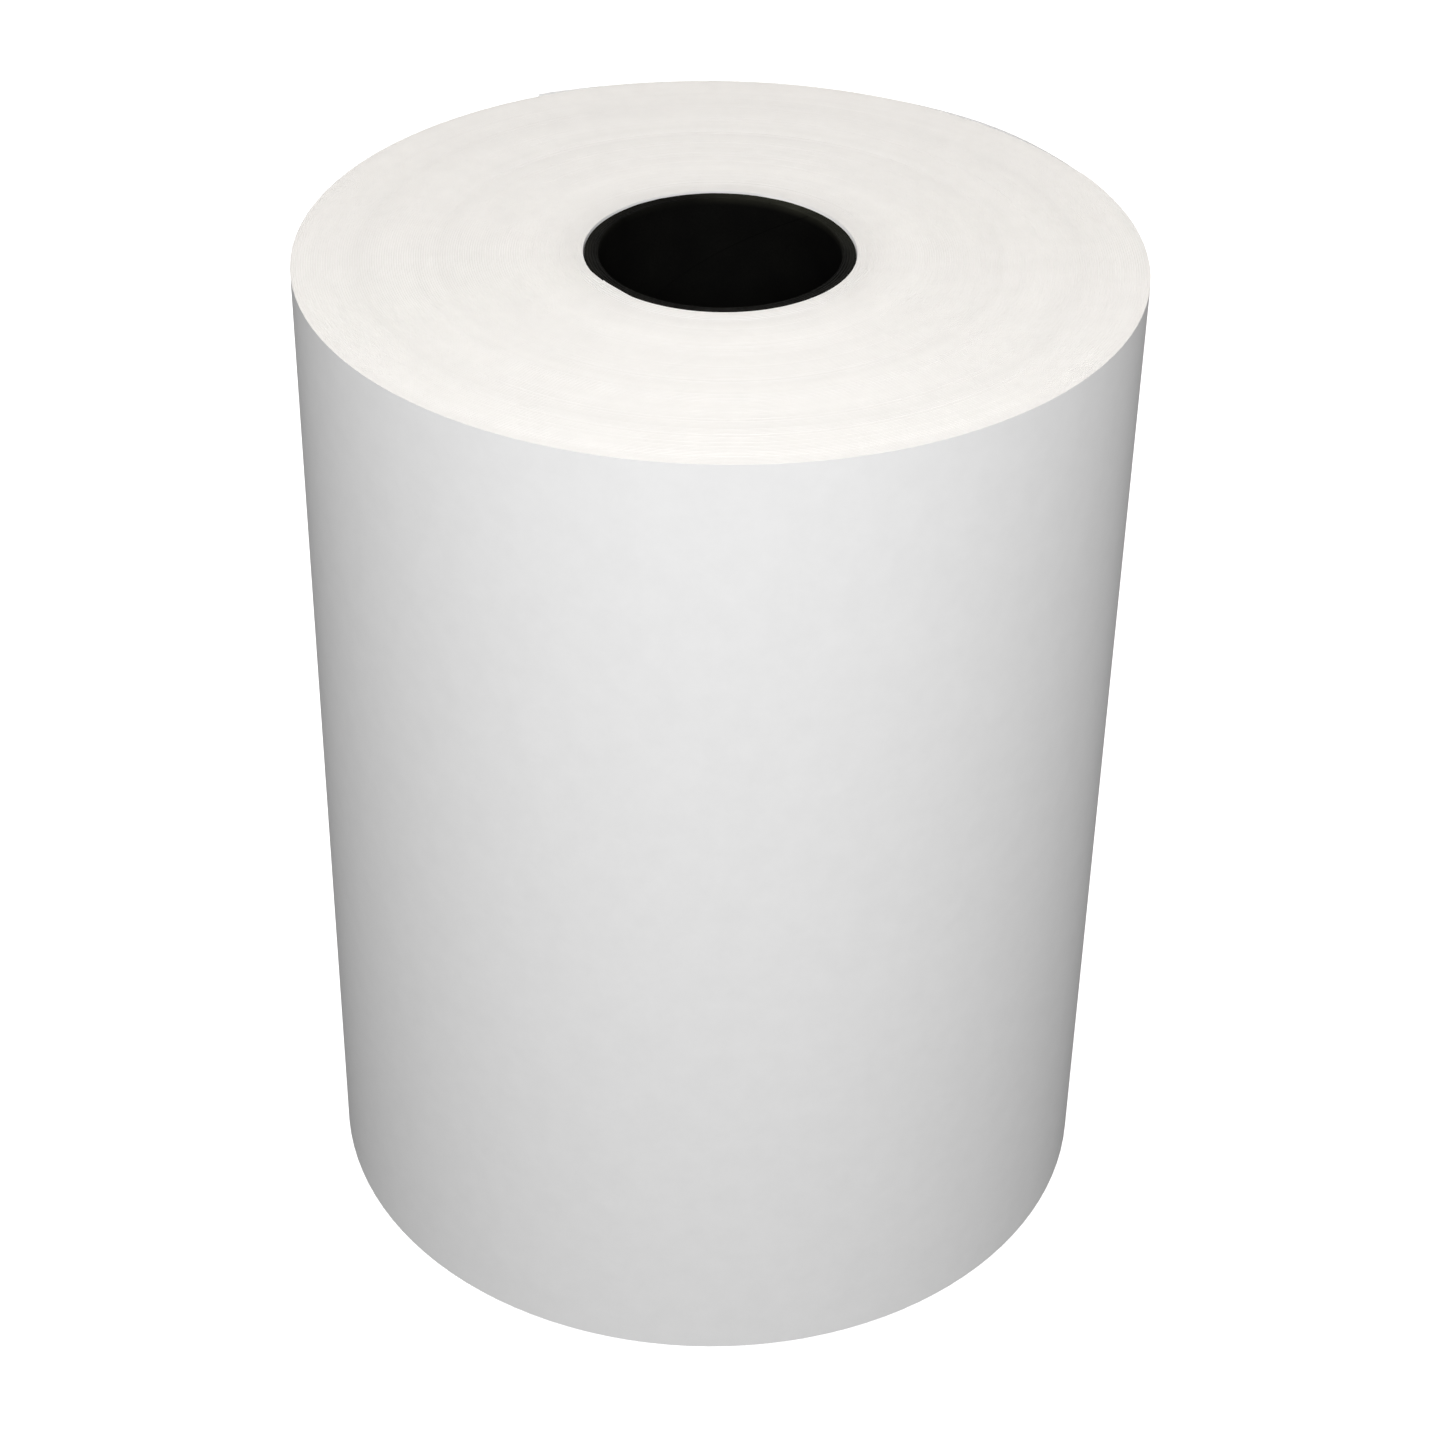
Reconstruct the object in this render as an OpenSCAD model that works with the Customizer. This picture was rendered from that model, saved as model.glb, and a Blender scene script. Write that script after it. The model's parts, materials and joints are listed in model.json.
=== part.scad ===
// Backdrop paper roll: one long white sheet wound on a black spiral-ply core, standing on one end.
// The origin is the middle of the lower end, and +Z runs up the core's axis.

/* [Paper] */
// Width of the sheet, which is the height of the standing roll
paper_width = 228.6; // [100:0.1:320]
// Diameter that the sheet is wound to, under its free end
wound_d = 176.8; // [120:0.1:260]
// Thickness of the sheet
paper_t = 0.2; // [0.1:0.05:0.4]
// Number of bands of turns whose edges show as rings on the two ends
band_count = 14; // [6:1:24]
// Furthest that a band of turns stands out of line with the rest
edge_wander = 0.3; // [0.1:0.05:0.6]

/* [Free end of the sheet] */
// Direction from the axis to the line where the free end leaves the roll
tail_angle = 28; // [0:1:60]
// Angle of the roll that the free end covers
tail_wrap = 90; // [72:1:120]
// Clearance between the free end and the turn under it
tail_clearance = 0.3; // [0.2:0.05:0.5]
// Clearance between neighbouring strips of the free end, where the sheet bends
strip_clearance = 0.3; // [0.2:0.05:0.6]
// How far the free end's two edges stand in from the ends of the roll
tail_inset = 0.3; // [0.2:0.05:1]

/* [Closing tape] */
// Length of the closing tape, round the roll
closing_tape_length = 32; // [24:1:50]
// Width of the closing tape, up the roll
closing_tape_w = 25; // [12:1:50]
// Thickness of the closing tape
closing_tape_t = 0.15; // [0.05:0.05:0.3]
// Length of the closing tape that is stuck to the free end, back from its edge
closing_tape_grip = 14; // [6:1:15]
// Length over which the closing tape drops from the free end's edge to the roll
closing_tape_drop = 2; // [1:0.5:5]

/* [Core] */
// Bore of the core
core_bore_d = 50.8; // [25:0.1:77]
// Thickness of the liner ply, which is the bore's wall
liner_t = 0.25; // [0.1:0.05:0.5]
// Thickness of each board ply
board_t = 0.55; // [0.3:0.05:0.9]
// Thickness of the wrap ply on the outside of the core
wrap_t = 0.25; // [0.1:0.05:0.5]
// Thickness of each film of glue
glue_t = 0.02; // [0.01:0.01:0.05]
// How far the core's ends stand in from the ends of the roll
core_recess = 0.1; // [0:0.1:3]

/* [Start of the sheet] */
// Direction from the axis to the sheet's first edge
start_angle = 214; // [120:1:300]
// Width of the double-sided tape that holds the sheet's first edge, round the core
start_tape_w = 19; // [8:1:30]
// Thickness of the start tape
start_tape_t = 0.1; // [0.05:0.05:0.3]
// How far the start tape's ends stand in from the core's ends
start_tape_inset = 6; // [1:1:30]

/* [Hidden] */
board_plies = 4;
tail_strips = 6;

$fn = 180;
paper_white = [0.93, 0.93, 0.92];
liner_black = [0.05, 0.05, 0.05];
board_black = [0.10, 0.10, 0.10];
tape_cream = [0.90, 0.87, 0.78];

// Core radii, from the bore outwards: each ply starts one film of glue outside the last.
core_length = paper_width - 2 * core_recess;
liner_r = core_bore_d / 2;
board_pitch = board_t + glue_t;
board_r = liner_r + liner_t + glue_t;
wrap_r = board_r + board_plies * board_pitch;
core_r = wrap_r + wrap_t;

// The sheet's first turn seats on the start tape. Its free end lies one step further out
// than the turn under it.
start_tape_r = core_r + glue_t;
paper_start_r = start_tape_r + start_tape_t + glue_t;
wound_r = wound_d / 2;
tail_step = tail_clearance + paper_t;
tail_r = wound_r + tail_clearance;
band_w = (wound_r - paper_start_r) / band_count;

// The free end's strips, each an equal share of the angle that it covers.
strip_wrap = tail_wrap / tail_strips;
strip_trim = degrees(strip_clearance / 2, tail_r);
closing_tape_r = tail_r + paper_t + glue_t;
closing_tape_lap = 0.05; // the tape's straight drop runs this far into its two bent ends
closing_tape_skin = closing_tape_t / 5; // and stays this far inside each of their two faces
tail_edge_angle = tail_angle + tail_wrap - strip_trim;

// Golden angle, which spreads the bands' heights with no pattern that repeats
golden_angle = 137.5;

// Angle that a length covers round a circle.
function degrees(length, radius) = length / radius * 180 / PI;

// Point at a radius and an angle.
function polar(radius, angle) = [radius * cos(angle), radius * sin(angle)];

// Height at which a band of turns stands. The outermost band stands on the floor.
function band_lift(i) = i == band_count - 1 ? 0 : edge_wander * (1 - cos(golden_angle * i)) / 2;

// Up one side of a band and across its end, at the bottom (z = 0) or the top of the roll.
function band_edge(i, z) = [
    [i == 0 ? 0 : paper_start_r + i * band_w, z + band_lift(i)],
    [i == band_count - 1 ? wound_r + 2 * tail_step : paper_start_r + (i + 1) * band_w, z + band_lift(i)]
];

// Stepped outline of half the roll: along the bottom outwards, then back along the top.
function banded_outline() = concat(
    [for (i = [0 : band_count - 1]) each band_edge(i, 0)],
    [for (i = [band_count - 1 : -1 : 0]) let (edge = band_edge(i, paper_width)) each [edge[1], edge[0]]]
);

// A straight tube that stands with its lower end at z.
module tube(inner_r, wall, z, length) {
    translate([0, 0, z])
        linear_extrude(length)
            difference() {
                circle(inner_r + wall);
                circle(inner_r);
            }
}

// A sheet bent to a radius, from one angle to another.
module bent_sheet(inner_r, thickness, from_angle, to_angle, z, width) {
    rotate(from_angle)
        rotate_extrude(angle = to_angle - from_angle)
            translate([inner_r, z])
                square([thickness, width]);
}

// A disc whose edge is one turn of a spiral: two half discs on two centres, so that
// the radius grows by step in a turn and drops back along the +X axis.
module spiral_disc(radius, step) {
    reach = 3 * radius;
    intersection() {
        circle(radius);
        translate([-reach, 0]) square([2 * reach, reach]);
    }
    intersection() {
        translate([step / 2, 0]) circle(radius + step / 2);
        translate([-reach, -reach]) square([2 * reach, reach]);
    }
}

// Smooth black paper, the bore's wall.
module core_liner() {
    color(liner_black) tube(liner_r, liner_t, core_recess, core_length);
}

// One ply of black board, counted outwards from the liner.
module core_board_ply(i) {
    color(board_black) tube(board_r + (i - 1) * board_pitch, board_t, core_recess, core_length);
}

// The core's outermost ply, which the sheet is wound on.
module core_wrap() {
    color(board_black) tube(wrap_r, wrap_t, core_recess, core_length);
}

// Double-sided tape up the core, under the first edge of the sheet.
module start_tape() {
    color(tape_cream)
        bent_sheet(
            start_tape_r, start_tape_t,
            start_angle, start_angle + degrees(start_tape_w, start_tape_r),
            core_recess + start_tape_inset, core_length - 2 * start_tape_inset
        );
}

// The wound sheet. It starts with a step of one thickness at the core, and ends with the
// step that its free end grows out of. Its turns lie in bands that are a little out of line.
module wound_paper() {
    color(paper_white)
        intersection() {
            rotate_extrude() polygon(banded_outline());
            translate([0, 0, -edge_wander])
                linear_extrude(paper_width + 3 * edge_wander)
                    difference() {
                        rotate(tail_angle) spiral_disc(wound_r, tail_step);
                        rotate(start_angle) spiral_disc(paper_start_r, paper_t);
                    }
        }
}

// One strip of the sheet's free end, counted from where it leaves the roll. The sheet
// bends at the clearances between strips.
module tail_strip(i) {
    from_angle = tail_angle + (i - 1) * strip_wrap;
    color(paper_white)
        bent_sheet(
            tail_r, paper_t, from_angle + strip_trim, from_angle + strip_wrap - strip_trim,
            tail_inset, paper_width - 2 * tail_inset
        );
}

// Paper tape that holds the free end to the roll: it is stuck on the last strip, drops over
// the sheet's edge and lies on the turn below.
module closing_tape() {
    z = (paper_width - closing_tape_w) / 2;
    from_angle = tail_edge_angle - degrees(closing_tape_grip, closing_tape_r);
    landing_angle = tail_edge_angle + degrees(closing_tape_drop, tail_r);
    to_angle = from_angle + degrees(closing_tape_length, closing_tape_r);
    lap = degrees(closing_tape_lap, tail_r);
    color(tape_cream) {
        bent_sheet(closing_tape_r, closing_tape_t, from_angle, tail_edge_angle, z, closing_tape_w);
        translate([0, 0, z])
            linear_extrude(closing_tape_w)
                polygon([
                    polar(closing_tape_r + closing_tape_skin, tail_edge_angle - lap),
                    polar(closing_tape_r + closing_tape_t - closing_tape_skin, tail_edge_angle - lap),
                    polar(tail_r + closing_tape_t - closing_tape_skin, landing_angle + lap),
                    polar(tail_r + closing_tape_skin, landing_angle + lap)
                ]);
        bent_sheet(tail_r, closing_tape_t, landing_angle, to_angle, z, closing_tape_w);
    }
}

core_liner();
for (i = [1 : board_plies])
    core_board_ply(i);
core_wrap();
start_tape();
wound_paper();
for (i = [1 : tail_strips])
    tail_strip(i);
closing_tape();
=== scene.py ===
import json
import math

import bpy
import numpy as np
from mathutils import Matrix, Vector


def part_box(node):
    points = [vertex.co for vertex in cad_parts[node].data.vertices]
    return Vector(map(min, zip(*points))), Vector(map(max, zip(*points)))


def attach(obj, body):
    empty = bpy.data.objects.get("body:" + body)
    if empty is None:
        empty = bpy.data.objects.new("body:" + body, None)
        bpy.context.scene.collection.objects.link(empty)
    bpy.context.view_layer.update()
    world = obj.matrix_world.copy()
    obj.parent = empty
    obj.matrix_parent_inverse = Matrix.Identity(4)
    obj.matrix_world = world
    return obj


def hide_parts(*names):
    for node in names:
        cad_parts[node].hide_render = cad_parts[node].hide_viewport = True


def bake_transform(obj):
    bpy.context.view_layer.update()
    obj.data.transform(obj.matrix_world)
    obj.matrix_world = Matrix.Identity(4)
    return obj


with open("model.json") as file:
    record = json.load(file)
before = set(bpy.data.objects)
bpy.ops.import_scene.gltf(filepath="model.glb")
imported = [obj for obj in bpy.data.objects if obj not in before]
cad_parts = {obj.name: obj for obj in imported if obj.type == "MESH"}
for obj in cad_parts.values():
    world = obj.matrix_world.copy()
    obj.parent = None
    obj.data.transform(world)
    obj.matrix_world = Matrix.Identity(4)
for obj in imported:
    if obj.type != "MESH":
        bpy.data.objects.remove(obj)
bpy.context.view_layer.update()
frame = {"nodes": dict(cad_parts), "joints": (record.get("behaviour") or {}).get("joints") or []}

# ---------------------------------------------------------------------------------------
# The wound sheet
# One long strip of uncoated white paper, cut to width and wound tightly on the core by
# machine. The winding machine lets the strip wander a few tenths of a millimetre, so
# the cut edges of the turns show as fine rings on the two ends of the roll.
# ---------------------------------------------------------------------------------------

MM = 0.001
core_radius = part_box("core_wrap")[1].x
wound_radius = -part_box("wound_paper")[0].x
# The free end starts as far above the floor as it stops below the sheet's upper edge.
sheet_low, sheet_high = (corner.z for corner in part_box("tail_strip_1"))
sheet_width = sheet_low + sheet_high
sheet_thickness = 0.2 * MM
peel_line = Vector(frame["joints"][0]["pos_m"])
tail_angle = math.degrees(math.atan2(peel_line.y, peel_line.x))

# The sheet's first edge shows as a step in the hole, at the front left. The first turn
# seats on the start tape, which is 0.1 mm thick, with a film of glue on each side of it.
start_angle = 214.0
glue_film = 0.02 * MM
start_tape_thickness = 0.1 * MM
seat_radius = core_radius + glue_film + start_tape_thickness + glue_film

# A turn is drawn 0.5 mm thick, because the real 0.2 mm is too fine to show. The first
# drawn turn grows from the real sheet, and the last one steps down to it where the free
# end leaves the roll. The spiral has whole turns, and the part of a turn that is left from
# the first edge round to where the free end leaves.
drawn_turn = 0.5 * MM
turns = round((wound_radius + drawn_turn - seat_radius) / drawn_turn) - 1
turns += ((tail_angle - start_angle) % 360) / 360
turn_thickness = (wound_radius + drawn_turn - seat_radius - sheet_thickness) / turns


def add(tree, kind, inputs=(), **settings):
    """Adds a node: its settings, then its inputs by order or by name. A node or a socket
    that is given as an input is linked to it."""
    node = tree.nodes.new(kind)
    for name, value in settings.items():
        setattr(node, name, value)
    pairs = inputs.items() if isinstance(inputs, dict) else enumerate(inputs)
    for key, value in pairs:
        if isinstance(value, bpy.types.Node):
            value = value.outputs[0]
        if isinstance(value, bpy.types.NodeSocket):
            tree.links.new(value, node.inputs[key])
        elif value is not None:
            node.inputs[key].default_value = value
    return node


def new_geometry_tree(name, sizes):
    """An empty tree whose named inputs are given as {name: socket type}."""
    tree = bpy.data.node_groups.new(name, "GeometryNodeTree")
    for label, kind in sizes.items():
        tree.interface.new_socket(label, in_out="INPUT", socket_type="NodeSocket" + kind)
    tree.interface.new_socket("Geometry", in_out="OUTPUT", socket_type="NodeSocketGeometry")
    return tree, tree.nodes.new("NodeGroupInput").outputs


def grow(tree, name, values):
    """Runs a tree with these input values and keeps its result as a plain mesh object."""
    piece = bpy.data.objects.new(name, bpy.data.meshes.new(name))
    bpy.context.scene.collection.objects.link(piece)
    modifier = piece.modifiers.new("grow", "NODES")
    modifier.node_group = tree
    for item in tree.interface.items_tree:
        if item.in_out == "INPUT":
            modifier[item.identifier] = values[item.name]
    result = piece.evaluated_get(bpy.context.evaluated_depsgraph_get())
    mesh = bpy.data.meshes.new_from_object(result)
    piece.modifiers.clear()
    piece.data = mesh
    mesh.name = name
    return piece


def build_wound_sheet_tree():
    """A strip that runs along a flat spiral. Its cross-section has six corners: two long
    walls, and a shallow ridge along each cut edge."""
    tree, size = new_geometry_tree("wound_sheet", {
        "Seat Radius": "Float", "First Edge": "Float", "Turn Thickness": "Float", "Turns": "Float",
        "Steps per Turn": "Int", "Sheet Width": "Float", "Edge Ridge": "Float",
        "Start Angle": "Float", "Edge Wander": "Float", "Turn Wander": "Float",
        "Inner Lift": "Float", "Proud Corner": "Float", "Seed": "Float", "Paper": "Material",
    })
    point_up = math.radians(30)
    # The strip's length is a line of points, numbered in turns from the core.
    steps = add(tree, "ShaderNodeMath", [size["Turns"], size["Steps per Turn"]], operation="MULTIPLY")
    count = add(tree, "ShaderNodeMath", [steps, 1.0], operation="ADD")
    line = add(tree, "GeometryNodeMeshLine", {"Count": count, "Offset": (1.0, 0.0, 0.0)})
    strip = add(tree, "GeometryNodeMeshToCurve", [line])
    along = add(tree, "GeometryNodeSplineParameter")
    turn = add(tree, "ShaderNodeMath", [along.outputs["Factor"], size["Turns"]], operation="MULTIPLY")
    strip = add(tree, "GeometryNodeStoreNamedAttribute",
                {"Geometry": strip, "Name": "turn", "Value": turn}, data_type="FLOAT")
    # The cross-section is a hexagon that stands on a point.
    section = add(tree, "GeometryNodeCurvePrimitiveCircle", {"Resolution": 6, "Radius": 1.0})
    section = add(tree, "GeometryNodeTransform",
                  {"Geometry": section, "Rotation": (0.0, 0.0, point_up)})
    corner = add(tree, "GeometryNodeInputPosition")
    section = add(tree, "GeometryNodeStoreNamedAttribute",
                  {"Geometry": section, "Name": "corner", "Value": corner},
                  data_type="FLOAT_VECTOR")
    sheet = add(tree, "GeometryNodeCurveToMesh",
                {"Curve": strip, "Profile Curve": section, "Fill Caps": True})

    turn = add(tree, "GeometryNodeInputNamedAttribute", {"Name": "turn"}, data_type="FLOAT")
    corner = add(tree, "GeometryNodeInputNamedAttribute", {"Name": "corner"},
                 data_type="FLOAT_VECTOR")
    corner = add(tree, "ShaderNodeSeparateXYZ", [corner])
    # Angle round the roll
    swept = add(tree, "ShaderNodeMath", [turn, math.tau], operation="MULTIPLY")
    angle = add(tree, "ShaderNodeMath", [swept, size["Start Angle"]], operation="ADD")
    # Radius: half a turn in or out of the middle of the sheet. The first turn starts at the
    # sheet's real thickness and grows to the drawn one.
    side = add(tree, "ShaderNodeMath", [corner.outputs["X"], 0.5 / math.cos(point_up)],
               operation="MULTIPLY")
    layer = add(tree, "ShaderNodeMath", [turn, 0.5], operation="ADD")
    layer = add(tree, "ShaderNodeMath", [layer, side], operation="ADD")
    radius = add(tree, "ShaderNodeMath", [layer, size["Turn Thickness"], size["Seat Radius"]],
                 operation="MULTIPLY_ADD")
    spare = add(tree, "ShaderNodeMath", [size["Turn Thickness"], size["First Edge"]],
                operation="SUBTRACT")
    spare = add(tree, "ShaderNodeMapRange", {"Value": layer, "To Max": spare},
                interpolation_type="SMOOTHSTEP")
    radius = add(tree, "ShaderNodeMath", [radius, spare], operation="SUBTRACT")
    # Height: the ridge along each cut edge, and the wander of the strip. The first turns
    # stand a little proud, and the last ones don't wander: the roll stands on them.
    quiet_turns, first_turns, last_turns = 1.0, 8.0, 14.0
    level = add(tree, "ShaderNodeMath", [corner.outputs["Y"]], operation="ABSOLUTE")
    level = add(tree, "ShaderNodeMath", [level, 2.0, -2.0], operation="MULTIPLY_ADD")
    half = add(tree, "ShaderNodeMath", [size["Sheet Width"], 0.5], operation="MULTIPLY")
    reach = add(tree, "ShaderNodeMath", [level, size["Edge Ridge"], half], operation="MULTIPLY_ADD")
    up = add(tree, "ShaderNodeMath", [corner.outputs["Y"]], operation="SIGN")
    height = add(tree, "ShaderNodeMath", [reach, up, half], operation="MULTIPLY_ADD")
    left = add(tree, "ShaderNodeMath", [size["Turns"], turn], operation="SUBTRACT")
    last = add(tree, "ShaderNodeMapRange",
               {"Value": left, "From Min": quiet_turns, "From Max": last_turns},
               interpolation_type="SMOOTHSTEP")
    first = add(tree, "ShaderNodeMapRange",
                {"Value": turn, "From Min": quiet_turns, "From Max": first_turns},
                interpolation_type="SMOOTHSTEP")
    settle = add(tree, "ShaderNodeMath", [first, last], operation="MULTIPLY")
    lift = add(tree, "ShaderNodeMath", [1.0, first], operation="SUBTRACT")
    height = add(tree, "ShaderNodeMath", [lift, size["Inner Lift"], height], operation="MULTIPLY_ADD")
    # The sheet's first corner pushes the next seven turns up, over 16 degrees each way. The
    # middle of the bulge is 3 degrees past the corner.
    bulge_reach, bulge_lag, bulge_turns = math.radians(16), math.radians(3), 7.0
    ahead = add(tree, "ShaderNodeMath", [angle, size["Start Angle"]], operation="SUBTRACT")
    ahead = add(tree, "ShaderNodeMath", [ahead, bulge_lag], operation="SUBTRACT")
    ahead = add(tree, "ShaderNodeMath", [ahead], operation="COSINE")
    near = add(tree, "ShaderNodeMapRange",
               {"Value": ahead, "From Min": math.cos(bulge_reach), "From Max": 1.0},
               interpolation_type="SMOOTHSTEP")
    fade = add(tree, "ShaderNodeMapRange",
               {"Value": turn, "From Min": bulge_turns, "From Max": 0.0},
               interpolation_type="SMOOTHSTEP")
    top = add(tree, "ShaderNodeMath", [corner.outputs["Y"], 0.0], operation="GREATER_THAN")
    proud = add(tree, "ShaderNodeMath", [near, fade], operation="MULTIPLY")
    proud = add(tree, "ShaderNodeMath", [proud, top], operation="MULTIPLY")
    height = add(tree, "ShaderNodeMath", [proud, size["Proud Corner"], height],
                 operation="MULTIPLY_ADD")
    # A slow wander over about 14 turns, and a small one from each turn to the next
    for wander, per_turn, offset in (("Edge Wander", 0.07, 0.0), ("Turn Wander", 0.9, 40.0)):
        place = add(tree, "ShaderNodeMath", [turn, per_turn, size["Seed"]],
                    operation="MULTIPLY_ADD")
        place = add(tree, "ShaderNodeMath", [place, offset], operation="ADD")
        noise = add(tree, "ShaderNodeTexNoise",
                    {"W": place, "Scale": 1.0, "Detail": 1.0}, noise_dimensions="1D")
        drift = add(tree, "ShaderNodeMapRange",
                    {"Value": noise.outputs["Fac"], "From Min": 0.25, "From Max": 0.75,
                     "To Max": size[wander]})
        height = add(tree, "ShaderNodeMath", [drift, settle, height], operation="MULTIPLY_ADD")
    # Each point goes to its place round the roll's axis.
    across = add(tree, "ShaderNodeMath", [angle], operation="COSINE")
    across = add(tree, "ShaderNodeMath", [across, radius], operation="MULTIPLY")
    deep = add(tree, "ShaderNodeMath", [angle], operation="SINE")
    deep = add(tree, "ShaderNodeMath", [deep, radius], operation="MULTIPLY")
    place = add(tree, "ShaderNodeCombineXYZ", [across, deep, height])
    sheet = add(tree, "GeometryNodeSetPosition", {"Geometry": sheet, "Position": place})
    # Winding the flat strip up turns it inside out, so its faces are turned back.
    sheet = add(tree, "GeometryNodeFlipFaces", [sheet])
    sheet = add(tree, "GeometryNodeRemoveAttribute", {"Geometry": sheet, "Name": "corner"})
    sheet = add(tree, "GeometryNodeRealizeInstances", [sheet])
    sheet = add(tree, "GeometryNodeSetMaterial", {"Geometry": sheet, "Material": size["Paper"]})
    add(tree, "NodeGroupOutput", [sheet])
    return tree


def linear(colour):
    """An sRGB hex colour as linear RGBA."""
    parts = [int(colour[i:i + 2], 16) / 255 for i in (1, 3, 5)]
    return [p / 12.92 if p <= 0.04045 else ((p + 0.055) / 1.055) ** 2.4 for p in parts] + [1.0]


def new_material(name):
    """A material with an empty tree, its surface shader and its object coordinates."""
    material = bpy.data.materials.new(name)
    material.use_nodes = True
    tree = material.node_tree
    tree.nodes.clear()
    surface = add(tree, "ShaderNodeBsdfPrincipled")
    add(tree, "ShaderNodeOutputMaterial", {"Surface": surface})
    place = add(tree, "ShaderNodeTexCoord").outputs["Object"]
    return material, tree, surface, place


def uncoated_white_paper():
    """Machine-made, uncoated: bright, quite matt, with a faintly cloudy sheet and fine
    fibres on its face. Its cut edges are rougher and a little warmer than its face."""
    material, tree, surface, place = new_material("uncoated_white_paper")
    spot = add(tree, "ShaderNodeSeparateXYZ", [place])
    # How much of the surface is cut edge: it faces up or down.
    facing = add(tree, "ShaderNodeNewGeometry").outputs["Normal"]
    facing = add(tree, "ShaderNodeSeparateXYZ", [facing])
    facing = add(tree, "ShaderNodeMath", [facing.outputs["Z"]], operation="ABSOLUTE")
    cut = add(tree, "ShaderNodeMapRange", {"Value": facing, "From Min": 0.3, "From Max": 0.6})
    # The sheet's cloudiness has a grain of 1 to 6 mm, and its fibres are 0.3 mm apart.
    cloud_grain, fibre_gap = 6 * MM, 0.3 * MM
    cloud = add(tree, "ShaderNodeTexNoise",
                {"Vector": place, "Scale": 1 / cloud_grain, "Detail": 4.0, "Roughness": 0.7})
    tint = add(tree, "ShaderNodeMapRange",
               {"Value": cloud.outputs["Fac"], "From Min": 0.3, "From Max": 0.7, "To Min": 0.97})
    # Rings: turns differ a little in tone, over two to eight millimetres of the radius.
    turn = add(tree, "ShaderNodeAttribute", attribute_name="turn").outputs["Fac"]
    ring = add(tree, "ShaderNodeTexNoise", {"W": turn, "Scale": 0.06, "Detail": 2.0},
               noise_dimensions="1D")
    ring = add(tree, "ShaderNodeMapRange",
               {"Value": ring.outputs["Fac"], "From Min": 0.3, "From Max": 0.7, "To Min": 0.96})
    # The end is a little darker for a centimetre round the core.
    core_darkening_width = 10 * MM
    flat = add(tree, "ShaderNodeCombineXYZ", [spot.outputs["X"], spot.outputs["Y"], 0.0])
    radius = add(tree, "ShaderNodeVectorMath", [flat], operation="LENGTH").outputs["Value"]
    core_darkening = add(tree, "ShaderNodeMapRange",
                 {"Value": radius, "From Min": core_radius,
                  "From Max": core_radius + core_darkening_width, "To Min": 0.915},
                 interpolation_type="SMOOTHSTEP")
    edge_tone = add(tree, "ShaderNodeMath", [ring, core_darkening], operation="MULTIPLY")
    edge_tone = add(tree, "ShaderNodeMix", {"Factor": cut, "A": 1.0, "B": edge_tone})
    tone = add(tree, "ShaderNodeMath", [edge_tone, tint], operation="MULTIPLY")
    colour = add(tree, "ShaderNodeMix", {0: cut, 6: linear("#f4f4f4"), 7: linear("#f6f6f4")},
                 data_type="RGBA").outputs[2]
    colour = add(tree, "ShaderNodeVectorMath", {0: colour, 3: tone}, operation="SCALE")
    tree.links.new(colour.outputs[0], surface.inputs["Base Color"])
    fibre = add(tree, "ShaderNodeTexNoise",
                {"Vector": place, "Scale": 1 / fibre_gap, "Detail": 4.0})
    rough = add(tree, "ShaderNodeMapRange",
                {"Value": fibre.outputs["Fac"], "To Min": 0.82, "To Max": 0.96})
    tree.links.new(rough.outputs[0], surface.inputs["Roughness"])
    bump = add(tree, "ShaderNodeBump",
               {"Height": fibre.outputs["Fac"], "Strength": 0.25, "Distance": 0.03 * MM})
    tree.links.new(bump.outputs[0], surface.inputs["Normal"])
    surface.inputs["Specular IOR Level"].default_value = 0.25
    surface.inputs["Diffuse Roughness"].default_value = 0.25
    return material


def shade(mesh, sharp_bend):
    """Smooth shading, apart from edges that bend by more than an angle in degrees."""
    mesh.shade_smooth()
    mesh.set_sharp_from_angle(angle=math.radians(sharp_bend))


paper = uncoated_white_paper()
wound_sheet = grow(build_wound_sheet_tree(), "wound_sheet", {
    "Seat Radius": seat_radius, "Turn Thickness": turn_thickness, "Turns": turns,
    "Steps per Turn": 120, "Sheet Width": sheet_width, "Edge Ridge": 0.1 * MM,
    "Start Angle": math.radians(start_angle), "Edge Wander": 0.17 * MM,
    "Turn Wander": 0.03 * MM, "Inner Lift": 0.3 * MM, "Proud Corner": 0.4 * MM,
    "First Edge": sheet_thickness, "Seed": 3.0, "Paper": paper,
})
shade(wound_sheet.data, sharp_bend=55)
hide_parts("wound_paper")
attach(wound_sheet, "roll")

# ---------------------------------------------------------------------------------------
# The free end of the sheet
# The last 140 mm of the same strip, lying loosely round the back of the roll. It is
# springy paper that has taken the roll's curve, so it lifts off as one smooth sheet.
# Each panel below lies round one line that the free end bends about, and the six panels meet edge to
# edge.
# ---------------------------------------------------------------------------------------

# The lines that the free end bends about lie in the middle of the sheet's thickness.
tail_radius = peel_line.xy.length - sheet_thickness / 2
bend_lines = [joint["pos_m"] for joint in frame["joints"]]
bend_angles = [math.degrees(math.atan2(y, x)) % 360 for x, y, z in bend_lines]
strip_angle = bend_angles[1] - bend_angles[0]
sheet_edge = bend_angles[-1] + strip_angle
tape_low, tape_high = (corner.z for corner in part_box("closing_tape"))
tape_middle, tape_half = (tape_low + tape_high) / 2, (tape_high - tape_low) / 2

# The belly's height, and the degrees that it spans. The curled corners' height and degrees,
# and how far above and below the tape they are fully curled.
belly_height, belly_span = 0.8 * MM, 40.0
curl_height, curl_span, curl_reach = 1.3 * MM, 24.0, 80 * MM


def smooth_step(x):
    """Eases from 0 to 1 as x goes from 0 to 1."""
    x = np.clip(x, 0.0, 1.0)
    return x * x * (3 - 2 * x)


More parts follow.
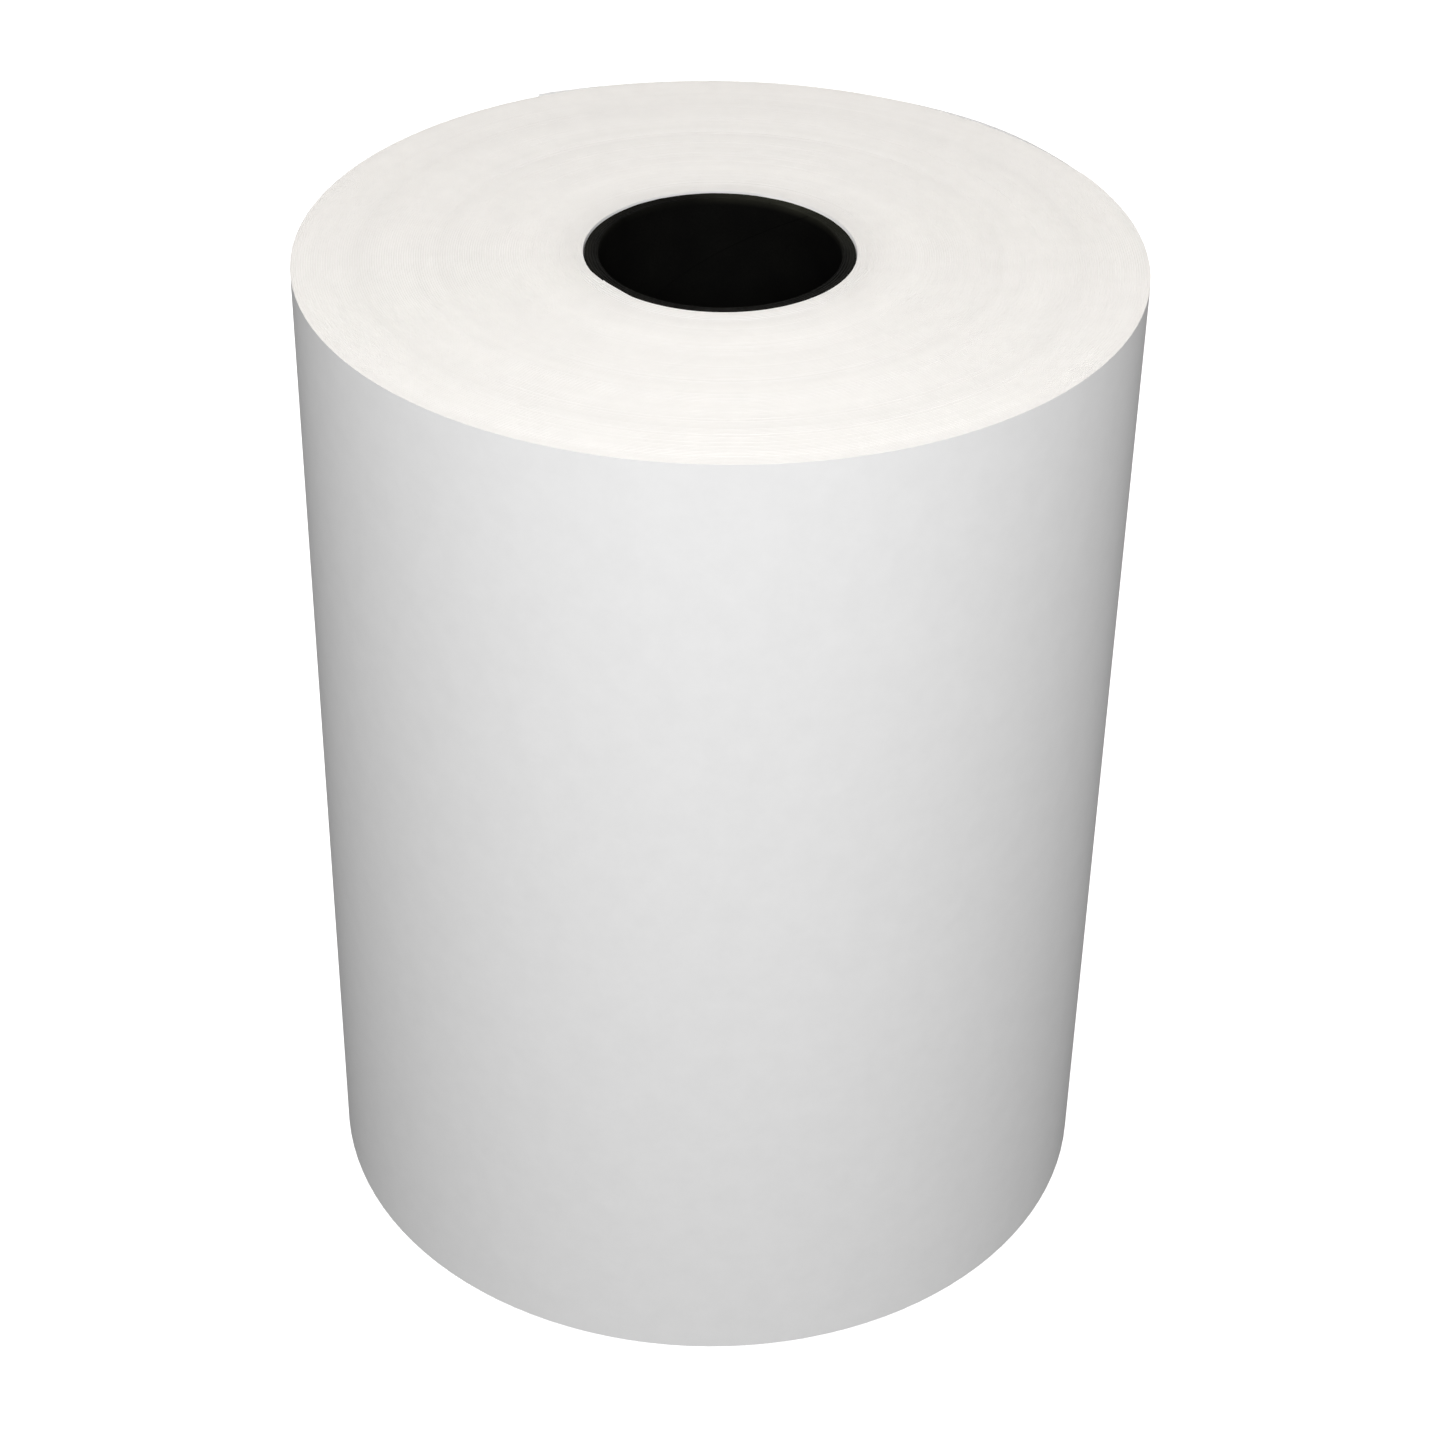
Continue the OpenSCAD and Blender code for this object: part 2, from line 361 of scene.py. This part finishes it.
def tail_face(angle, z):
    """Radius of the free end's inner face. It bellies out where it leaves the roll, and its
    two corners curl where the tape doesn't hold them."""
    belly = np.sin(np.pi * np.clip((angle - tail_angle) / belly_span, 0, 1)) ** 2
    off_tape = np.abs(z - tape_middle) - tape_half
    curl = np.clip(1 - (sheet_edge - angle) / curl_span, 0, 1) ** 2
    curl = curl * smooth_step(off_tape / curl_reach)
    return tail_radius + belly_height * belly + curl_height * curl


def closed_sheet(name, inner, outer, material):
    """A closed mesh from two grids of points, one for each face of a sheet."""
    rows, columns = inner.shape[:2]
    points = np.concatenate([inner.reshape(-1, 3), outer.reshape(-1, 3)])
    number = np.arange(rows * columns).reshape(rows, columns)
    a, b, c, d = number[:-1, :-1], number[1:, :-1], number[1:, 1:], number[:-1, 1:]
    faces = np.stack([a, b, c, d], -1).reshape(-1, 4)
    faces = np.concatenate([faces, faces[:, ::-1] + rows * columns])
    rim = np.concatenate([number[0, :-1], number[:-1, -1], number[-1, :0:-1], number[:0:-1, 0]])
    after = np.roll(rim, -1)
    walls = np.stack([rim, after, after + rows * columns, rim + rows * columns], -1)
    faces = np.concatenate([faces, walls])
    mesh = bpy.data.meshes.new(name)
    mesh.from_pydata(points.tolist(), [], faces.tolist())
    mesh.materials.append(material)
    shade(mesh, sharp_bend=40)
    piece = bpy.data.objects.new(name, mesh)
    bpy.context.scene.collection.objects.link(piece)
    return piece


def polar(radius, angle, z):
    """Points from a distance to the roll's axis, an angle in degrees and a height."""
    turned = np.radians(angle)
    return np.stack([radius * np.cos(turned), radius * np.sin(turned), z], -1)


# A panel reaches from the middle of one strip to the middle of the next.
steps_per_degree, rows_up = 2, 41
middles = [a + strip_angle / 2 for a in bend_angles]
for i, bend in enumerate(bend_angles):
    first = bend if i == 0 else middles[i - 1]
    last = sheet_edge if i == len(bend_angles) - 1 else middles[i]
    angle, z = np.meshgrid(np.linspace(first, last, 1 + round((last - first) * steps_per_degree)),
                           np.linspace(sheet_low, sheet_high, rows_up))
    face = tail_face(angle, z)
    panel = closed_sheet(f"free_end_{i + 1}", polar(face, angle, z),
                         polar(face + sheet_thickness, angle, z), paper)
    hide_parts(f"tail_strip_{i + 1}")
    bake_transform(panel)

# ---------------------------------------------------------------------------------------
# The closing tape
# A short piece of cream crepe paper tape that holds the free end down. It was cut on a
# toothed dispenser, so its two short ends are zigzags. It is stuck to the sheet, drops over
# the sheet's edge and lies on the turn below.
# ---------------------------------------------------------------------------------------

tape_thickness = 0.15 * MM
# The tape's length, how much of it is on the sheet, and over how much it drops past the edge
tape_length, tape_grip, tape_drop = 32 * MM, 14 * MM, 2 * MM
# From a tooth's tip to its root, how far each is off the line, and how deep the cut reaches
tooth_step, tooth_swing, tooth_depth = 0.8 * MM, 0.35 * MM, 1.2 * MM


def crepe_paper_tape():
    """Crinkled paper with a rubber adhesive: cream, softly shiny on the crests of its
    crinkles, which run across the tape about 0.5 mm apart."""
    material, tree, surface, place = new_material("crepe_paper_tape")
    run = add(tree, "ShaderNodeUVMap", uv_map="along_tape")
    crinkle_gap, crinkle_length, mottle_grain = 0.5 * MM, 4 * MM, 3 * MM
    crinkle = add(tree, "ShaderNodeMapping",
                  {"Vector": run, "Scale": (1 / crinkle_gap, 1 / crinkle_length, 1.0)})
    crinkle = add(tree, "ShaderNodeTexNoise",
                  {"Vector": crinkle, "Scale": 1.0, "Detail": 3.0, "Distortion": 0.6})
    mottle = add(tree, "ShaderNodeTexNoise",
                 {"Vector": place, "Scale": 1 / mottle_grain, "Detail": 2.0})
    crest = add(tree, "ShaderNodeMath", [crinkle.outputs["Fac"], mottle.outputs["Fac"]],
                operation="ADD")
    crest = add(tree, "ShaderNodeMapRange", {"Value": crest, "From Min": 0.7, "From Max": 1.3})
    # The colour is mottled, and it is lighter on the crests and darker in the troughs of the
    # crinkles: painted light and shade of the crinkles.
    colour = add(tree, "ShaderNodeMix", {0: crest, 6: linear("#e2d5b0"), 7: linear("#f3ead0")},
                 data_type="RGBA").outputs[2]
    tree.links.new(colour, surface.inputs["Base Color"])
    rough = add(tree, "ShaderNodeMapRange", {"Value": crest, "To Min": 0.7, "To Max": 0.5})
    tree.links.new(rough.outputs[0], surface.inputs["Roughness"])
    bump = add(tree, "ShaderNodeBump",
               {"Height": crinkle.outputs["Fac"], "Strength": 0.6, "Distance": 0.12 * MM})
    tree.links.new(bump.outputs[0], surface.inputs["Normal"])
    return material


def tape_face(along, z):
    """Radius and angle of the tape's inner face, at a length from its end on the sheet."""
    radius = tail_radius + sheet_thickness
    angle = sheet_edge - np.degrees((tape_grip - along) / radius)
    on_sheet = tail_face(np.minimum(angle, sheet_edge), z) + sheet_thickness + glue_film
    on_turn = wound_radius + sheet_thickness + glue_film
    down = smooth_step((along - tape_grip) / tape_drop)
    return on_sheet * (1 - down) + on_turn * down, angle


# Across the tape there is a point for each tooth's tip and root. Along it the points are
# closer where it drops over the sheet's edge.
across = np.linspace(-tape_half, tape_half, 2 * round(tape_half / tooth_step) + 1)
lengths = np.concatenate([
    np.linspace(0, tape_grip, 40),
    tape_grip + np.linspace(0.1 * MM, tape_drop, 12),
    np.linspace(tape_grip + tape_drop + 0.4 * MM, tape_length, 36),
])
along, z = np.meshgrid(lengths, across)
teeth = tooth_swing * np.where(np.arange(len(across)) % 2, 1, -1)[:, None]
first_cut = np.clip(1 - along / tooth_depth, 0, 1)
last_cut = np.clip(1 - (tape_length - along) / tooth_depth, 0, 1)
along = along + teeth * (first_cut + last_cut)
radius, angle = tape_face(along, tape_middle + z)
tape = closed_sheet("closing_tape_strip", polar(radius, angle, tape_middle + z),
                    polar(radius + tape_thickness, angle, tape_middle + z), crepe_paper_tape())
run = np.stack([along.ravel(), z.ravel()], -1)
run = np.concatenate([run, run])
corners = np.zeros(len(tape.data.loops), int)
tape.data.loops.foreach_get("vertex_index", corners)
tape.data.uv_layers.new(name="along_tape").data.foreach_set("uv", run[corners].ravel())
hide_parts("closing_tape")
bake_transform(tape)

# ---------------------------------------------------------------------------------------
# The core
# A spiral-wound tube of dyed black board: a smooth liner, four thick board plies and a
# wrap, glued one round the next and sawn to length. The saw leaves the plies' ends a
# little fuzzy and uneven, and each ply's butt joint runs up the tube as a helix.
# ---------------------------------------------------------------------------------------


def build_core_ply_tree():
    """A tube with eased edges, whose sawn ends wave a little."""
    tree, size = new_geometry_tree("core_ply", {
        "Inner Radius": "Float", "Thickness": "Float", "Bottom": "Float", "Top": "Float",
        "Eased Edge": "Float", "End Wave": "Float", "Ply": "Int", "Board": "Material",
    })
    steps_round, flat_up = 240, math.radians(22.5)
    ring = add(tree, "GeometryNodeCurvePrimitiveCircle", {"Resolution": steps_round, "Radius": 1.0})
    place = add(tree, "GeometryNodeInputPosition")
    ring = add(tree, "GeometryNodeStoreNamedAttribute",
               {"Geometry": ring, "Name": "spoke", "Value": place}, data_type="FLOAT_VECTOR")
    # Cross-section: an octagon that is pulled out into a tall strip with cut corners.
    section = add(tree, "GeometryNodeCurvePrimitiveCircle", {"Resolution": 8, "Radius": 1.0})
    section = add(tree, "GeometryNodeTransform",
                  {"Geometry": section, "Rotation": (0.0, 0.0, flat_up)})
    section = add(tree, "GeometryNodeStoreNamedAttribute",
                  {"Geometry": section, "Name": "corner", "Value": place}, data_type="FLOAT_VECTOR")
    tube = add(tree, "GeometryNodeCurveToMesh", {"Curve": ring, "Profile Curve": section})
    spoke = add(tree, "GeometryNodeInputNamedAttribute", {"Name": "spoke"},
                data_type="FLOAT_VECTOR")
    corner = add(tree, "GeometryNodeInputNamedAttribute", {"Name": "corner"},
                 data_type="FLOAT_VECTOR")
    corner = add(tree, "ShaderNodeSeparateXYZ", [corner])
    # A corner of the octagon is at 0.92 on one axis and 0.38 on the other: at 0.92 it lies on
    # that side of the strip, and at 0.38 it is an eased edge short of it.
    side, short = {}, {}
    for axis in ("X", "Y"):
        side[axis] = add(tree, "ShaderNodeMath", [corner.outputs[axis]], operation="SIGN")
        far = add(tree, "ShaderNodeMath", [corner.outputs[axis]], operation="ABSOLUTE")
        short[axis] = add(tree, "ShaderNodeMath", [far, 0.6], operation="LESS_THAN")
    half = add(tree, "ShaderNodeMath", [size["Thickness"], 0.5], operation="MULTIPLY")
    minus = add(tree, "ShaderNodeMath", [size["Eased Edge"], -1.0], operation="MULTIPLY")
    out = add(tree, "ShaderNodeMath", [short["X"], minus, half], operation="MULTIPLY_ADD")
    out = add(tree, "ShaderNodeMath", [out, side["X"], half], operation="MULTIPLY_ADD")
    radius = add(tree, "ShaderNodeMath", [out, size["Inner Radius"]], operation="ADD")
    tall = add(tree, "ShaderNodeMath", [size["Top"], size["Bottom"]], operation="SUBTRACT")
    half_tall = add(tree, "ShaderNodeMath", [tall, 0.5], operation="MULTIPLY")
    up = add(tree, "ShaderNodeMath", [short["Y"], minus, half_tall], operation="MULTIPLY_ADD")
    centre = add(tree, "ShaderNodeMath", [half_tall, size["Bottom"]], operation="ADD")
    height = add(tree, "ShaderNodeMath", [up, side["Y"], centre], operation="MULTIPLY_ADD")
    # The ends wave about six times in a distance of one radius, each ply in its own way.
    wave = add(tree, "ShaderNodeTexNoise",
               {"Vector": spoke, "W": size["Ply"], "Scale": 6.0, "Detail": 3.0},
               noise_dimensions="4D")
    wave = add(tree, "ShaderNodeMapRange",
               {"Value": wave.outputs["Fac"], "From Min": 0.25, "From Max": 0.75,
                "To Min": size["End Wave"], "To Max": 0.0})
    drop = add(tree, "ShaderNodeMath", [wave, side["Y"]], operation="MULTIPLY")
    height = add(tree, "ShaderNodeMath", [height, drop], operation="SUBTRACT")
    spot = add(tree, "ShaderNodeVectorMath", {0: spoke, 3: radius}, operation="SCALE")
    spot = add(tree, "ShaderNodeSeparateXYZ", [spot])
    spot = add(tree, "ShaderNodeCombineXYZ", [spot.outputs["X"], spot.outputs["Y"], height])
    tube = add(tree, "GeometryNodeSetPosition", {"Geometry": tube, "Position": spot})
    # A tube swept along a circle comes out inside out, so its faces are turned back.
    tube = add(tree, "GeometryNodeFlipFaces", [tube])
    for name in ("spoke", "corner"):
        tube = add(tree, "GeometryNodeRemoveAttribute", {"Geometry": tube, "Name": name})
    tube = add(tree, "GeometryNodeStoreNamedAttribute",
               {"Geometry": tube, "Name": "ply", "Value": size["Ply"]}, data_type="FLOAT")
    tube = add(tree, "GeometryNodeRealizeInstances", [tube])
    tube = add(tree, "GeometryNodeSetMaterial", {"Geometry": tube, "Material": size["Board"]})
    add(tree, "NodeGroupOutput", [tube])
    return tree


def black_core_board(name, dark, pale, end_and_highlight_colour, end_lightening, sheen, lead):
    """Board dyed black in the pulp: matt, fibrous and faintly greenish, and painted darker from ply
    to ply towards the bore, as painted shade of the bore. Its ends get the highlight colour added: by
    the lightening amount all round, and by more on the back right side, which is a painted highlight
    where the key light catches it. A ply's fine butt joint climbs the tube by lead in each turn."""
    fibre_gap, patch_width, lightened_depth, joint_width = 0.35 * MM, 9 * MM, 1.8 * MM, 0.4 * MM
    material, tree, surface, place = new_material(name)
    spot = add(tree, "ShaderNodeSeparateXYZ", [place])
    ply = add(tree, "ShaderNodeAttribute", attribute_name="ply").outputs["Fac"]
    # Fibres 0.35 mm apart, and patches of about 9 mm where the dye took unevenly
    fibre = add(tree, "ShaderNodeTexNoise",
                {"Vector": place, "Scale": 1 / fibre_gap, "Detail": 4.0})
    patch = add(tree, "ShaderNodeTexNoise",
                {"Vector": place, "Scale": 1 / patch_width, "Detail": 2.0})
    grey = add(tree, "ShaderNodeMath", [fibre.outputs["Fac"], patch.outputs["Fac"]],
               operation="MULTIPLY")
    grey = add(tree, "ShaderNodeMapRange", {"Value": grey, "From Min": 0.12, "From Max": 0.42})
    colour = add(tree, "ShaderNodeMix", {0: grey, 6: linear(dark), 7: linear(pale)},
                 data_type="RGBA").outputs[2]
    # Painted shade of the bore: the plies are painted darker towards it, and the liner darkest of
    # all.
    painted_bore_shade = add(tree, "ShaderNodeMapRange", {"Value": ply, "From Max": 5.0, "To Min": 0.15})
    colour = add(tree, "ShaderNodeVectorMath", {0: colour, 3: painted_bore_shade}, operation="SCALE").outputs[0]
    # The last 1.8 mm at each end are greyer. The back right side is greyest, over about 57 degrees
    # each way: there the added colour is a painted highlight where the key light catches the board.
    level = add(tree, "ShaderNodeMath", [spot.outputs["Z"], -sheet_width / 2], operation="ADD")
    level = add(tree, "ShaderNodeMath", [level], operation="ABSOLUTE")
    end_and_highlight = add(tree, "ShaderNodeMapRange",
                 {"Value": level, "From Min": sheet_width / 2 - lightened_depth,
                  "From Max": sheet_width / 2}, interpolation_type="SMOOTHSTEP")
    radial = add(tree, "ShaderNodeCombineXYZ", [spot.outputs["X"], spot.outputs["Y"], 0.0])
    radial = add(tree, "ShaderNodeVectorMath", [radial], operation="NORMALIZE")
    highlight_angle = math.radians(52)
    highlight_side = Vector((math.cos(highlight_angle), math.sin(highlight_angle), 0.0))
    side = add(tree, "ShaderNodeVectorMath", [radial, highlight_side], operation="DOT_PRODUCT")
    side = add(tree, "ShaderNodeMapRange",
               {"Value": side.outputs["Value"], "From Min": 0.55, "From Max": 1.0,
                "To Min": end_lightening, "To Max": end_lightening + 2.0}, interpolation_type="SMOOTHSTEP")
    end_and_highlight = add(tree, "ShaderNodeMath", [end_and_highlight, side], operation="MULTIPLY")
    end_and_highlight = add(tree, "ShaderNodeMath", [end_and_highlight, patch.outputs["Fac"]], operation="MULTIPLY")
    added_end_and_highlight = add(tree, "ShaderNodeVectorMath", {0: linear(end_and_highlight_colour)[:3], 3: end_and_highlight}, operation="SCALE")
    colour = add(tree, "ShaderNodeVectorMath", [colour, added_end_and_highlight.outputs[0]], operation="ADD").outputs[0]
    # The butt joint is a dark line, and each ply's is in another place.
    way = add(tree, "ShaderNodeMath", [spot.outputs["Y"], spot.outputs["X"]], operation="ARCTAN2")
    way = add(tree, "ShaderNodeMath", [way, 1 / math.tau], operation="MULTIPLY")
    way = add(tree, "ShaderNodeMath", [ply, 0.38, way], operation="MULTIPLY_ADD")
    climb = add(tree, "ShaderNodeMath", [spot.outputs["Z"], 1 / lead, way], operation="MULTIPLY_ADD")
    climb = add(tree, "ShaderNodeMath", [climb, 1.0], operation="FLOORED_MODULO")
    off = add(tree, "ShaderNodeMath", [climb, 0.5], operation="SUBTRACT")
    off = add(tree, "ShaderNodeMath", [off], operation="ABSOLUTE")
    joint = add(tree, "ShaderNodeMapRange",
                {"Value": off, "From Max": joint_width / 2 / lead, "To Min": 0.45})
    colour = add(tree, "ShaderNodeMix", {0: joint, 6: linear("#020202"), 7: colour},
                 data_type="RGBA").outputs[2]
    tree.links.new(colour, surface.inputs["Base Color"])
    rough = add(tree, "ShaderNodeMapRange",
                {"Value": fibre.outputs["Fac"], "To Min": 0.75, "To Max": 0.95})
    tree.links.new(rough.outputs[0], surface.inputs["Roughness"])
    relief = add(tree, "ShaderNodeMath", [fibre.outputs["Fac"], joint], operation="ADD")
    bump = add(tree, "ShaderNodeBump",
               {"Height": relief, "Strength": 0.5, "Distance": 0.06 * MM})
    tree.links.new(bump.outputs[0], surface.inputs["Normal"])
    surface.inputs["Specular IOR Level"].default_value = sheen
    return material


core_ply = build_core_ply_tree()
# At the ends each board gets its third colour added, and at the back right that colour is a painted
# highlight.
liner_paper = black_core_board("black_uncoated_liner", dark="#212120", pale="#2e2e2b",
                               end_and_highlight_colour="#12120e", end_lightening=0.9, sheen=0.02, lead=96 * MM)
core_board = black_core_board("black_dyed_core_board", dark="#131311", pale="#252521",
                              end_and_highlight_colour="#1b1c16", end_lightening=0.0, sheen=0.04, lead=118 * MM)
board_thickness, paper_thickness = 0.55 * MM, 0.25 * MM
plies = ["core_liner", "core_board_ply_1", "core_board_ply_2", "core_board_ply_3",
         "core_board_ply_4", "core_wrap"]
for i, node in enumerate(plies):
    low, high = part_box(node)
    thickness = board_thickness if "board" in node else paper_thickness
    ply = grow(core_ply, node + "_tube", {
        "Inner Radius": high.x - thickness, "Thickness": thickness, "Bottom": low.z,
        "Top": high.z, "Eased Edge": 0.08 * MM, "End Wave": 0.12 * MM, "Ply": i,
        "Board": liner_paper if node == "core_liner" else core_board,
    })
    shade(ply.data, sharp_bend=50)
    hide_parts(node)
    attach(ply, "roll")

# ---------------------------------------------------------------------------------------
# The start tape
# Double-sided tape up the core, under the sheet's first edge. It is thin tissue with a
# film of adhesive on both faces, and it stays shut in between the core and the sheet.
# ---------------------------------------------------------------------------------------

fleck_gap = 0.8 * MM
tissue, tree, surface, place = new_material("double_sided_tissue_tape")
flecks = add(tree, "ShaderNodeTexNoise", {"Vector": place, "Scale": 1 / fleck_gap, "Detail": 3.0})
colour = add(tree, "ShaderNodeMix",
             {0: flecks.outputs["Fac"], 6: linear("#d8cca4"), 7: linear("#ece5cc")},
             data_type="RGBA").outputs[2]
tree.links.new(colour, surface.inputs["Base Color"])
rough = add(tree, "ShaderNodeMapRange",
            {"Value": flecks.outputs["Fac"], "To Min": 0.3, "To Max": 0.5})
tree.links.new(rough.outputs[0], surface.inputs["Roughness"])
frame["nodes"]["start_tape"].data.materials.clear()
frame["nodes"]["start_tape"].data.materials.append(tissue)

# ---------------------------------------------------------------------------------------
# The studio
# A plain white floor, a soft key light high in front, a wide one overhead, two low ones
# behind, and an even, weak fill from all round.
# ---------------------------------------------------------------------------------------

floor_size, floor_level = 6.0, -0.2 * MM
bpy.ops.mesh.primitive_plane_add(size=floor_size, location=(0.0, 0.0, floor_level))
floor = bpy.context.object
floor.name = "studio_floor"
floor.visible_diffuse = False
floor.visible_glossy = False
pale, tree, surface, place = new_material("white_studio_floor")
surface.inputs["Base Color"].default_value = linear("#b8b8b8")
surface.inputs["Roughness"].default_value = 0.9
surface.inputs["Emission Color"].default_value = (1.0, 1.0, 1.0, 1.0)
# It glows evenly like a lit table. Under the roll the glow is taken away: a painted shadow where the
# roll stands on it, seen through the bore.
away = add(tree, "ShaderNodeVectorMath", [place], operation="LENGTH").outputs["Value"]
glow = add(tree, "ShaderNodeMapRange",
           {"Value": away, "From Min": wound_radius - 10 * MM,
            "From Max": wound_radius - 2 * MM, "To Max": 0.94})
tree.links.new(glow.outputs[0], surface.inputs["Emission Strength"])
floor.data.materials.append(pale)

# The camera sees the surround white, but it lights the roll only weakly.
fill_strength = 0.15
world = bpy.data.worlds.new("studio_surround")
bpy.context.scene.world = world
world.use_nodes = True
tree = world.node_tree
tree.nodes.clear()
seen = add(tree, "ShaderNodeLightPath").outputs["Is Camera Ray"]
fill = add(tree, "ShaderNodeBackground", [linear("#ffffff"), fill_strength])
white = add(tree, "ShaderNodeBackground", [linear("#ffffff"), 1.0])
sky = add(tree, "ShaderNodeMixShader", [seen, fill, white])
add(tree, "ShaderNodeOutputWorld", {"Surface": sky})


def aim(thing, at, lean=0.0):
    """Turns a light or camera to look at a point, and leans it to its left by an angle."""
    back = (thing.location - at).normalized()
    right = Vector((-back.y, back.x, 0.0)).normalized()
    if back.xy.length < 1e-6:  # straight overhead
        right = Vector((1.0, 0.0, 0.0))
    axes = Matrix((right, back.cross(right), back)).transposed()
    thing.rotation_euler = (axes @ Matrix.Rotation(lean, 3, "Z")).to_euler()


def softbox(name, azimuth, elevation, distance, width, power, colour):
    """A square area light that looks at the middle of the roll, with its sizes in metres and
    its power in watts. Azimuth 0 is straight in front, and positive is to the right."""
    light = bpy.data.lights.new(name, "AREA")
    light.shape, light.size, light.energy = "SQUARE", width, power
    light.color = linear(colour)[:3]
    lamp = bpy.data.objects.new(name, light)
    a, e = math.radians(azimuth), math.radians(elevation)
    aim_point = Vector((0.0, 0.0, sheet_width / 2))
    lamp.location = aim_point + distance * Vector(
        (math.sin(a) * math.cos(e), -math.cos(a) * math.cos(e), math.sin(e)))
    aim(lamp, aim_point)
    bpy.context.scene.collection.objects.link(lamp)


softbox("key_softbox", azimuth=0, elevation=35, distance=1.0, width=0.3, power=6.82,
        colour="#ffffff")
softbox("top_softbox", azimuth=0, elevation=90, distance=2.0, width=0.6, power=9.8,
        colour="#fff2e9")
softbox("back_left_softbox", azimuth=-165, elevation=10, distance=1.5, width=0.5, power=7.2,
        colour="#ffffff")
softbox("back_right_softbox", azimuth=165, elevation=10, distance=1.5, width=0.5, power=7.2,
        colour="#ffffff")

# The camera looks down at the roll with a fairly long lens, leaning about a degree.
lens_length, sensor_width = 78.25, 36.0
look_down, lean, camera_distance = math.radians(34.56), math.radians(1.02), 0.7187
looked_at = Vector((0.0022, 0.0, 0.1098))
camera_data = bpy.data.cameras.new("camera")
camera_data.lens = lens_length
camera_data.sensor_width = sensor_width
camera = bpy.data.objects.new("camera", camera_data)
bpy.context.scene.collection.objects.link(camera)
towards_camera = Vector((0.0, -math.cos(look_down), math.sin(look_down)))
camera.location = looked_at + camera_distance * towards_camera
aim(camera, looked_at, lean)
bpy.context.scene.camera = camera
bpy.context.scene.view_settings.view_transform = "Standard"
